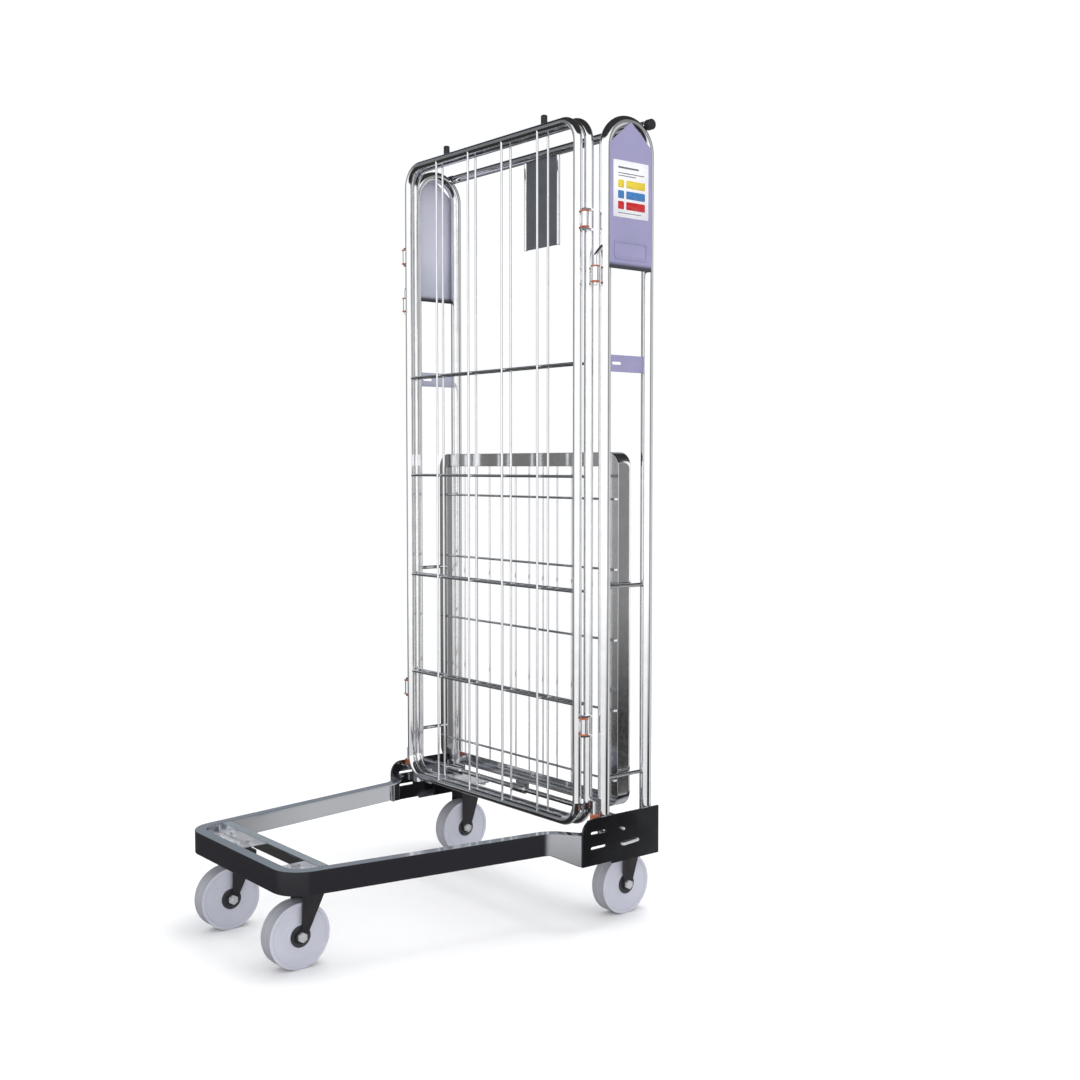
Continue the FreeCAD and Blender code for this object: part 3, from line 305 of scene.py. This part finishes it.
def place_and_normal(tree):
    """X, Y and Z of a point and of its face's normal."""
    geometry = tree.add("ShaderNodeNewGeometry")
    return tree.split(geometry.outputs["Position"]), tree.split(geometry.outputs["True Normal"])


def facing_inwards(tree):
    """One on faces that look towards the cage's middle plane, nought on the others; it places a
    painted reflection on the inner faces.

    A ramp only sees values from 0 to 1, so half a metre is added to what it is given."""
    place, normal = place_and_normal(tree)
    outward = tree.math("ADD", tree.math("MULTIPLY", place["X"], normal["X"]), 0.5)
    return tree.ramp(outward, [(0.35, 1.0), (0.45, 0.0)])


def dark_reflection_rim(tree):
    """One on upright faces round the outside of the base's nose and rails, where a dark reflection
    is painted.
    """
    place, normal = place_and_normal(tree)
    out = tree.math("ADD", *[tree.math("MULTIPLY", place[axis], normal[axis]) for axis in "XY"])
    rim = tree.ramp(tree.math("ADD", out, 0.5), [(0.54, 0.0), (0.58, 1.0)])
    front = tree.ramp(tree.math("ADD", place["Y"], 0.5), [(0.640, 1.0), (0.652, 0.0)])
    return tree.math("MULTIPLY", rim, front)


def tread_shade_mask(tree):
    """One on a wheel's tread, where painted shade goes, nought on its flat sides; X is along the
    axle.
    """
    normal = tree.split(tree.add("ShaderNodeTexCoord").outputs["Normal"])
    return tree.ramp(tree.math("ABSOLUTE", normal["X"]), [(0.25, 1.0), (0.6, 0.0)])


def place_height(tree):
    """Height above the floor as a share of two metres."""
    place = tree.split(tree.add("ShaderNodeNewGeometry").outputs["Position"])
    return tree.math("MULTIPLY", place["Z"], 0.5)


PLATED_GRAIN = 900.0
PLATED_BUMP = (0.03, 0.0001)
PAINT_CLOUD = 12.0
PAINT_SPECKLE = 1400.0
PAINT_BUMP = 0.0003
# Painted shade: a dark band along the lower edge of a label plate, standing for its shaded rolled
# hem, by height as a share of two metres.
HEM_SHADE_COLOUR = (0.05, 0.05, 0.06)
HEM_SHADE_BAND = [(0.62, 0.0), (0.64, 1.0), (0.6878, 1.0), (0.6882, 0.0)]


def plated_metal(name, light, dark, rough, cloud=30.0, edge=0.0, metallic=1.0, outer=None):
    """Zinc plated or drawn steel: cloudy tone, uneven polish, fine grain.

    outer is a painted dark reflection: a near-black colour, with no metal sheen, on the outside
    faces of the base."""
    material, tree, shader, place = start_material(name)
    shader.inputs["Metallic"].default_value = metallic
    colour = tree.ramp(tree.noise(place, cloud, 6.0, 0.6), [(0.35, dark), (0.6, light)])
    # Painted dark reflection: the base's outside faces take the near-black colour and lose their
    # metallic sheen.
    if outer:
        rim = dark_reflection_rim(tree)
        colour = tree.mix(rim, colour, outer)
        tree.link(tree.math("SUBTRACT", 1.0, rim), shader.inputs["Metallic"])
    tree.link(colour, shader.inputs["Base Color"])
    smear = tree.noise(place, cloud * 4.0, 4.0, 0.6)
    tree.link(tree.spread(smear, *rough), shader.inputs["Roughness"])
    add_bump(tree, shader, tree.noise(place, PLATED_GRAIN, 2.0), *PLATED_BUMP, edge)
    return material


def painted(name, light, dark, rough, depth=0.15, edge=0.0, coat=0.0, inside=None, tread=None):
    """Powder coat, moulded plastic or printed film: soft tone shifts and a fine texture.

    The inner stops by height are a painted reflection on faces that look inwards, with a painted
    shade band at the lower edge; the tread colour is painted shade on a wheel's tread."""
    material, tree, shader, place = start_material(name)
    colour = tree.ramp(tree.noise(place, PAINT_CLOUD, 5.0, 0.6), [(0.35, dark), (0.65, light)])
    # Painted shade: the tread is darker than the flat sides of the same wheel.
    if tread:
        colour = tree.mix(tread_shade_mask(tree), colour, tread)
    # Painted reflection: faces that look inwards are lighter, and their tone changes with height.
    if inside:
        height = place_height(tree)
        colour = tree.mix(facing_inwards(tree), colour, tree.ramp(height, inside))
        # Painted shade: a dark band along a label plate's lower edge.
        colour = tree.mix(tree.ramp(height, HEM_SHADE_BAND), colour, HEM_SHADE_COLOUR)
    tree.link(colour, shader.inputs["Base Color"])
    smear = tree.noise(place, PAINT_CLOUD * 6.0, 4.0, 0.6)
    tree.link(tree.spread(smear, *rough), shader.inputs["Roughness"])
    shader.inputs["Coat Weight"].default_value = coat
    add_bump(tree, shader, tree.noise(place, PAINT_SPECKLE, 2.0), depth, PAINT_BUMP, edge)
    return material


# Name: light tone, dark tone, range of roughness, and what differs from the usual.
METALS = {
    "zinc_tube": ((0.93, 0.935, 0.95), (0.87, 0.875, 0.89), (0.07, 0.11), {}),
    # base_steel: its outer colour is a painted dark reflection on the base's outside faces.
    "base_steel": (
        (0.62, 0.635, 0.67), (0.58, 0.595, 0.63), (0.09, 0.12),
        {"cloud": 4.0, "edge": 0.0008, "outer": (0.022, 0.022, 0.026)}),
    "plate_steel": (
        (0.24, 0.245, 0.27), (0.20, 0.205, 0.23), (0.10, 0.14), {"cloud": 4.0, "edge": 0.0008}),
    "castor_zinc": ((0.60, 0.61, 0.66), (0.42, 0.43, 0.48), (0.2, 0.35), {"edge": 0.0006}),
    "weld_metal": ((0.74, 0.74, 0.77), (0.55, 0.55, 0.58), (0.22, 0.38), {"cloud": 120.0}),
    "bolt_zinc": (
        (0.86, 0.87, 0.90), (0.74, 0.75, 0.78), (0.12, 0.25), {"edge": 0.0005, "metallic": 0.45}),
}
PAINTS = {
    # grey_sheet: the inner stops are a painted reflection on faces that look inwards.
    "grey_sheet": (
        (0.34, 0.32, 0.52), (0.30, 0.29, 0.47), (0.35, 0.5),
        {"edge": 0.0006, "coat": 0.1, "inside": [
            (0.68, (0.42, 0.44, 0.53)), (0.74, (0.60, 0.61, 0.72)), (0.84, (0.50, 0.51, 0.60))]}),
    "dark_sheet": ((0.11, 0.115, 0.14), (0.08, 0.085, 0.10), (0.3, 0.45), {"edge": 0.0005}),
    "label_film": ((0.86, 0.86, 0.89), (0.80, 0.80, 0.84), (0.2, 0.35), {"depth": 0.04}),
    "bush_orange": ((0.50, 0.14, 0.065), (0.42, 0.115, 0.055), (0.4, 0.55), {"edge": 0.0006}),
    "cap_black": ((0.022, 0.022, 0.024), (0.014, 0.014, 0.015), (0.35, 0.5), {}),
    # wheel_nylon: the tread colour is painted shade, darker than the sides of the same nylon.
    "wheel_nylon": (
        (0.57, 0.58, 0.66), (0.53, 0.54, 0.62), (0.35, 0.5),
        {"depth": 0.05, "coat": 0.15, "tread": (0.34, 0.345, 0.38)}),
    "hub_black": ((0.06, 0.06, 0.065), (0.035, 0.035, 0.04), (0.25, 0.4), {"edge": 0.0005}),
    "fork_black": (
        (0.028, 0.027, 0.031), (0.02, 0.019, 0.022), (0.3, 0.45), {"depth": 0.25, "edge": 0.0008}),
    "ink_yellow": ((0.80, 0.62, 0.05), (0.74, 0.56, 0.04), (0.25, 0.35), {"depth": 0.03}),
    "ink_blue": ((0.06, 0.22, 0.52), (0.05, 0.19, 0.46), (0.25, 0.35), {"depth": 0.03}),
    "ink_red": ((0.62, 0.03, 0.03), (0.54, 0.02, 0.02), (0.25, 0.35), {"depth": 0.03}),
    "ink_grey": ((0.16, 0.16, 0.18), (0.12, 0.12, 0.14), (0.25, 0.35), {"depth": 0.03}),
}


def make_materials():
    made = {}
    for make, table in ((plated_metal, METALS), (painted, PAINTS)):
        for name, (light, dark, rough, extra) in table.items():
            made[name] = make(name, light, dark, rough, **extra)
    return made


def dress_cad_nodes(materials, slots):
    for name, node in nodes.items():
        node.data.materials.clear()
        node.data.materials.append(materials[slots[name]])


# ---- mesh helpers --------------------------------------------------------------------
def finish_piece(name, mesh, body, material, replaced=()):
    """Links a finished mesh as a piece that rides on a body."""
    piece = bpy.data.objects.new(name, mesh)
    bpy.context.scene.collection.objects.link(piece)
    mesh.materials.clear()
    mesh.materials.append(material)
    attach(piece, body)
    if replaced:
        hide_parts(*replaced)
    return piece


def body_of(node):
    return nodes[node]["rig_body"]


def smooth_faces(mesh, sharp_angle=SHARP_ANGLE):
    """Smooth shading with the edges over the given angle, in degrees, kept sharp."""
    shape = bmesh.new()
    shape.from_mesh(mesh)
    limit = math.radians(sharp_angle)
    for face in shape.faces:
        face.smooth = True
    for edge in shape.edges:
        edge.smooth = len(edge.link_faces) == 2 and edge.calc_face_angle(0.0) < limit
    shape.to_mesh(mesh)
    shape.free()


def soften(node, width, materials, slots):
    """Stands for a CAD node with its shape and the rounded edges of cut and pressed steel."""
    mesh = nodes[node].data.copy()
    shape = bmesh.new()
    shape.from_mesh(mesh)
    bmesh.ops.remove_doubles(shape, verts=shape.verts, dist=MERGE_DISTANCE)
    bmesh.ops.dissolve_limit(
        shape, angle_limit=math.radians(FLAT_ANGLE), verts=shape.verts, edges=shape.edges)
    shape.to_mesh(mesh)
    shape.free()
    smooth_faces(mesh)
    material = materials[FINISHES.get(node, slots[node])]
    piece = finish_piece(node + "_finish", mesh, body_of(node), material, (node,))
    bevel = piece.modifiers.new("edges", "BEVEL")
    bevel.width = width
    bevel.segments = 3
    bevel.limit_method = "ANGLE"
    bevel.angle_limit = math.radians(SHARP_ANGLE)
    bevel.use_clamp_overlap = True
    bevel.harden_normals = True


def join_rings(shape, rings):
    """Closed skin over rings of as many vertices each, the last joined to the first."""
    for step, ring in enumerate(rings):
        following = rings[(step + 1) % len(rings)]
        for index in range(len(ring)):
            ahead = (index + 1) % len(ring)
            shape.faces.new((ring[index], ring[ahead], following[ahead], following[index]))


def lathe(profile, centre, steps=128):
    """Solid of revolution about the X axis through a centre, from a closed (across, radius)."""
    shape = bmesh.new()
    rings = []
    for step in range(steps):
        angle = 2 * math.pi * step / steps
        ring = []
        for across, radius in profile:
            offset = Vector((across, radius * math.cos(angle), radius * math.sin(angle)))
            ring.append(shape.verts.new(centre + offset))
        rings.append(ring)
    join_rings(shape, rings)
    bmesh.ops.recalc_face_normals(shape, faces=shape.faces)
    mesh = bpy.data.meshes.new("lathe")
    shape.to_mesh(mesh)
    shape.free()
    return mesh


def round_profile(points, radius, steps=4):
    """Rounds every corner of a closed profile given in millimetres; returns metres."""
    rounded = []
    count = len(points)
    for index, corner in enumerate(points):
        corner = Vector(corner)
        before = Vector(points[index - 1]) - corner
        after = Vector(points[(index + 1) % count]) - corner
        run = min(radius, ROUNDED_SHARE * before.length, ROUNDED_SHARE * after.length)
        start = corner + before.normalized() * run
        end = corner + after.normalized() * run
        for step in range(steps + 1):
            t = step / steps
            place = start * (1 - t) ** 2 + corner * 2 * t * (1 - t) + end * t ** 2
            rounded.append((place.x * MM, place.y * MM))
    return rounded


def mirrored_profile(half):
    """Closed profile from its half on the positive side of the wheel's middle."""
    return half + [(-across, radius) for across, radius in reversed(half)]


# ---- wheels --------------------------------------------------------------------------
WHEEL_ROUNDING = 1.2  # millimetres, as the two sections below
GUARD_ROUNDING = 0.5


def wheel_profile(tread):
    """Section of the moulded wheel in metres; tread is its outer radius in millimetres."""
    half = [
        (19.0, 12.0), (19.0, 24.5), (16.8, 27.5), (17.2, 30.5), (16.4, 33.0), (16.4, tread - 9.5),
        (17.2, tread - 7.6), (19.0, tread - 6.4), (19.0, tread - 0.8), (18.2, tread), (0.6, tread),
        (0.3, tread - 0.3)]
    return round_profile(mirrored_profile(half), WHEEL_ROUNDING)


def guard_profile():
    """Section of the bearing with its thread guards in metres."""
    half = [
        (19.0, 5.06), (20.6, 5.06), (20.6, 9.0), (19.9, 10.5), (19.9, 17.5), (20.6, 19.0),
        (20.6, 21.5), (19.0, 21.5), (19.0, 12.0)]
    return round_profile(mirrored_profile(half), GUARD_ROUNDING)


def make_wheels(materials):
    for name in CASTORS:
        wheel = "wheel_" + name
        low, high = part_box(wheel)
        parts = (
            ("nylon_wheel_", "wheel_", "wheel_nylon", wheel_profile((high.z - low.z) / 2 / MM)),
            ("thread_guard_", "wheel_bearing_", "hub_black", guard_profile()))
        for piece, node, slot, profile in parts:
            mesh = lathe(profile, (low + high) / 2)
            smooth_faces(mesh, WHEEL_SHARP_ANGLE)
            finish_piece(
                piece + name, mesh, body_of(wheel), materials[slot], (node + name,))


# ---- welds ---------------------------------------------------------------------------
# Half sizes of weld spots in millimetres, along X, Y and Z.
GATE_CROSSING = (2.6, 1.6, 2.6)
GATE_WIRE_END = (3.2, 3.2, 1.8)
GATE_BAR_END = (1.8, 3.6, 3.6)
DECK_CROSSING = (2.2, 1.2, 2.2)
DECK_WIRE_END = (2.6, 1.9, 1.6)
# Beads: thickness in metres and number of ripples round the tube.
LEG_BEAD = (2.0 * MM, 18)
LEG_BEAD_RISE = 1.0 * MM
RUNG_BEAD = (1.2 * MM, 9)


def add_blob(shape, centre, size):
    """Small uneven weld spot."""
    made = bmesh.ops.create_icosphere(shape, subdivisions=2, radius=1.0)
    for vertex in made["verts"]:
        x, y, _ = vertex.co
        wobble = 1.0 + 0.12 * math.sin(7.0 * x + 5.0 * centre[2]) * math.cos(6.0 * y)
        spot = [along * half * MM * wobble for along, half in zip(vertex.co, size)]
        vertex.co = Vector(centre) + Vector(spot)


def add_bead(shape, centre, radius, axis, thickness, ripples):
    """Ring of overlapping weld ripples around a tube's end."""
    first = axis.orthogonal().normalized()
    second = axis.cross(first)
    steps = ripples * 4
    sides = 8
    rings = []
    for step in range(steps):
        angle = 2 * math.pi * step / steps
        out = first * math.cos(angle) + second * math.sin(angle)
        swell = thickness * (0.85 + 0.25 * abs(math.sin(ripples * angle / 2)))
        ring = []
        for side in range(sides):
            turn = 2 * math.pi * side / sides
            offset = out * math.cos(turn) * swell + axis * math.sin(turn) * swell
            ring.append(shape.verts.new(Vector(centre) + out * radius + offset))
        rings.append(ring)
    join_rings(shape, rings)


def filled_mesh(name, fill):
    """Smooth mesh of what a function adds to an empty shape."""
    shape = bmesh.new()
    fill(shape)
    bmesh.ops.recalc_face_normals(shape, faces=shape.faces)
    for face in shape.faces:
        face.smooth = True
    mesh = bpy.data.meshes.new(name)
    shape.to_mesh(mesh)
    shape.free()
    return mesh


def islands(node):
    """Box of each separate solid of a node: centre, low and high corner."""
    shape = bmesh.new()
    shape.from_mesh(nodes[node].data)
    bmesh.ops.remove_doubles(shape, verts=shape.verts, dist=MERGE_DISTANCE)
    found = []
    seen = set()
    for start in shape.verts:
        if start in seen:
            continue
        seen.add(start)
        stack = [start]
        places = []
        while stack:
            vertex = stack.pop()
            places.append(vertex.co.copy())
            for edge in vertex.link_edges:
                other = edge.other_vert(vertex)
                if other not in seen:
                    seen.add(other)
                    stack.append(other)
        low = Vector(min(place[i] for place in places) for i in range(3))
        high = Vector(max(place[i] for place in places) for i in range(3))
        found.append(((low + high) / 2, low, high))
    shape.free()
    return found


def crossing_spots(shape, uprights, crossbars, size):
    """Weld spots where upright wires touch the bars that cross them."""
    for _, low_a, high_a in uprights:
        for _, low_b, high_b in crossbars:
            x = (low_a.x + high_a.x) / 2
            z = (low_b.z + high_b.z) / 2
            if low_b.x < x < high_b.x and low_a.z < z < high_a.z:
                y = (max(low_a.y, low_b.y) + min(high_a.y, high_b.y)) / 2
                add_blob(shape, (x, y, z), size)


def wire_end_spots(shape, wires, size):
    for centre, low, high in wires:
        for z in (low.z, high.z):
            add_blob(shape, (centre.x, centre.y, z), size)


def gate_welds(prefix):
    def fill(shape):
        wires = islands(prefix + "_wires")
        bars = islands(prefix + "_bars")
        crossing_spots(shape, wires, bars, GATE_CROSSING)
        wire_end_spots(shape, wires, GATE_WIRE_END)
        for centre, low, high in bars:
            for x in (low.x, high.x):
                add_blob(shape, (x, centre.y, centre.z), GATE_BAR_END)
    return fill


def deck_welds(shape):
    wires = islands("deck_long_wires")
    crossing_spots(shape, wires, islands("deck_cross_wires"), DECK_CROSSING)
    wire_end_spots(shape, wires, DECK_WIRE_END)


def frame_welds(shape):
    """Beads round the rear legs' feet and the rungs' ends."""
    up = Vector((0, 0, 1))
    along = Vector((0, 1, 0))
    for side in SIDES:
        low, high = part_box("side_frame_" + side)
        radius = (high.x - low.x) / 2
        rear = ((low.x + high.x) / 2, high.y - radius, low.z + LEG_BEAD_RISE)
        add_bead(shape, rear, radius, up, *LEG_BEAD)
    for centre, low, high in islands("side_rungs"):
        for y in (low.y, high.y):
            add_bead(shape, (centre.x, y, centre.z), (high.z - low.z) / 2, along, *RUNG_BEAD)


def make_welds(materials):
    jobs = (
        ("inner_gate_welds", "gate_inner", gate_welds("inner_gate")),
        ("outer_gate_welds", "gate_outer", gate_welds("outer_gate")),
        ("deck_welds", "deck", deck_welds),
        ("frame_welds", "root", frame_welds))
    for name, body, fill in jobs:
        finish_piece(name, filled_mesh(name, fill), body, materials["weld_metal"])


# ---- stickers ------------------------------------------------------------------------
FILM = 0.4 * MM
INK = 0.08 * MM
PATCH_RADIUS = 2.0 * MM


def rounded_patch(shape, side, y_low, y_high, z_low, z_high, x, thick, steps=5):
    """Thin rounded rectangle on a side face; x is the face it lies on."""
    corners = ((y_high, z_high, 0), (y_low, z_high, 1), (y_low, z_low, 2), (y_high, z_low, 3))
    outline = []
    radius = min(PATCH_RADIUS, ROUNDED_SHARE * min(z_high - z_low, y_high - y_low))
    for y, z, quarter in corners:
        centre_y = y - radius if y == y_high else y + radius
        centre_z = z - radius if z == z_high else z + radius
        for step in range(steps + 1):
            angle = math.pi / 2 * (quarter + step / steps)
            across, up = radius * math.cos(angle), radius * math.sin(angle)
            outline.append((centre_y + across, centre_z + up))
    top = [shape.verts.new((side * (x + thick), y, z)) for y, z in outline]
    base = [shape.verts.new((side * x, y, z)) for y, z in outline]
    shape.faces.new(top)
    shape.faces.new(list(reversed(base)))
    count = len(outline)
    for index in range(count):
        ahead = (index + 1) % count
        shape.faces.new((top[index], base[index], base[ahead], top[ahead]))


def sticker_bar(z_low, z_high):
    """A short and a long block beside each other."""
    return [(0.13, 0.30, z_low, z_high), (0.36, 0.90, z_low, z_high)]


# Name: material, and blocks as shares of the label's width and height (left, right, low, high).
PRINTS = {
    "sticker_bars_yellow": ("ink_yellow", sticker_bar(0.52, 0.66)),
    "sticker_bars_blue": ("ink_blue", sticker_bar(0.33, 0.47)),
    "sticker_bars_red": ("ink_red", sticker_bar(0.14, 0.28)),
    "sticker_rules": ("ink_grey", [
        (0.13, 0.72, 0.86, 0.89), (0.13, 0.88, 0.77, 0.785), (0.13, 0.64, 0.725, 0.74),
        (0.13, 0.80, 0.07, 0.082)]),
}


def make_stickers(materials):
    """Plain printed label on each side: colour bars and rules, with nothing to read."""
    low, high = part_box("info_stickers")
    width = high.y - low.y
    height = high.z - low.z

    def add_patches(name, material, blocks, x, thick, replaced=()):
        def fill(shape):
            for side in SIDES.values():
                for y0, y1, z0, z1 in blocks:
                    rounded_patch(
                        shape, side, low.y + y0 * width, low.y + y1 * width,
                        low.z + z0 * height, low.z + z1 * height, x, thick)
        mesh = filled_mesh(name, fill)
        finish_piece(name, mesh, "root", materials[material], replaced)

    whole = [(0.0, 1.0, 0.0, 1.0)]
    add_patches("sticker_film", "label_film", whole, high.x - FILM, FILM, ("info_stickers",))
    for name, (material, blocks) in PRINTS.items():
        add_patches(name, material, blocks, high.x, INK)


# ---- steel pieces with rounded edges -------------------------------------------------
# Materials of the nodes that look unlike the rest of their material slot.
FINISHES = {"castor_mounts": "bolt_zinc", "nose_crossbar": "zinc_tube"}
# Width of each node's rounded edges in millimetres.
EDGE_WIDTHS = {
    "base_frame": 0.8, "nose_crossbar": 0.8, "castor_mounts": 0.5, "latch_plates": 0.4,
    "placard": 0.4, "pivot_tabs": 0.5, "deck_frame": 0.7, "castor_heads": 0.5,
    "castor_bolts": 0.5, "leaf_hinge_pins": 0.5, "inner_gate_hinges": 0.5,
    "outer_gate_hinges": 0.5, "inner_gate_washers": 0.6, "outer_gate_washers": 0.6,
    "pivot_bushes": 0.7, "inner_gate_pivots": 0.5, "deck_knuckles": 0.5,
}
for side_name in SIDES:
    EDGE_WIDTHS["side_plate_" + side_name] = 0.6
    EDGE_WIDTHS["label_plate_" + side_name] = 0.9
    EDGE_WIDTHS["tie_rods_" + side_name] = 0.8
for castor_name in CASTORS:
    EDGE_WIDTHS["castor_fork_" + castor_name] = 0.9
    EDGE_WIDTHS["axle_bolt_" + castor_name] = 0.7


def make_steel(materials, slots):
    for node, width in EDGE_WIDTHS.items():
        soften(node, width * MM, materials, slots)


make_camera()
make_floor()
make_world()
make_lights()
slots = {part["node"]: part["material_slot"] for part in frame["record"]["subparts"]}
materials = make_materials()
dress_cad_nodes(materials, slots)
make_steel(materials, slots)
make_wheels(materials)
make_welds(materials)
make_stickers(materials)
